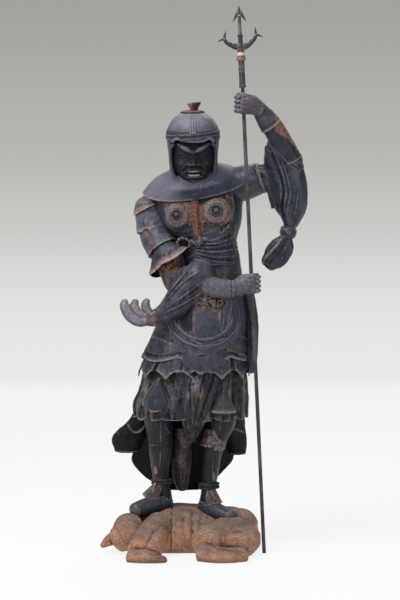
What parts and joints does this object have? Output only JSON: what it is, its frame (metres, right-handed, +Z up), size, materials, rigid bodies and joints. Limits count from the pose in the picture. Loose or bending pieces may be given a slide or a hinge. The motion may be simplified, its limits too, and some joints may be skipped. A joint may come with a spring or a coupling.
{
  "type": "lokapala figure",
  "caption": "Carved and painted guardian king standing on a crouching demon, one arm raised, both hands on a trident staff.",
  "frame": {"origin": "on the floor, in the middle of the demon plinth's flat underside", "axes": "+X to the figure's left hand (the viewer's right), +Y to its back, +Z up"},
  "size_m": [0.5027, 0.3356, 1.3123],
  "materials": {
    "bare_wood": "worn bare wood, orange brown, grey bloom on top",
    "dark_painted_wood": "worn blue-black polychrome over wood",
    "broken_wood": "broken bare wood",
    "lacquered_wood": "dark lacquer, satin",
    "dressed_sleeve": "dark textured wrapping",
    "gilt_copper": "pinkish worn gilding",
    "dark_iron": "dark, lightly worn"
  },
  "bodies": {
    "root": {"demon_plinth": "bare_wood", "guardian_figure": "dark_painted_wood", "helmet_finial": "broken_wood", "staff_shaft": "lacquered_wood", "staff_sleeve": "dressed_sleeve", "staff_bead": "gilt_copper", "trident_head": "dark_iron"}
  },
  "joints": []
}
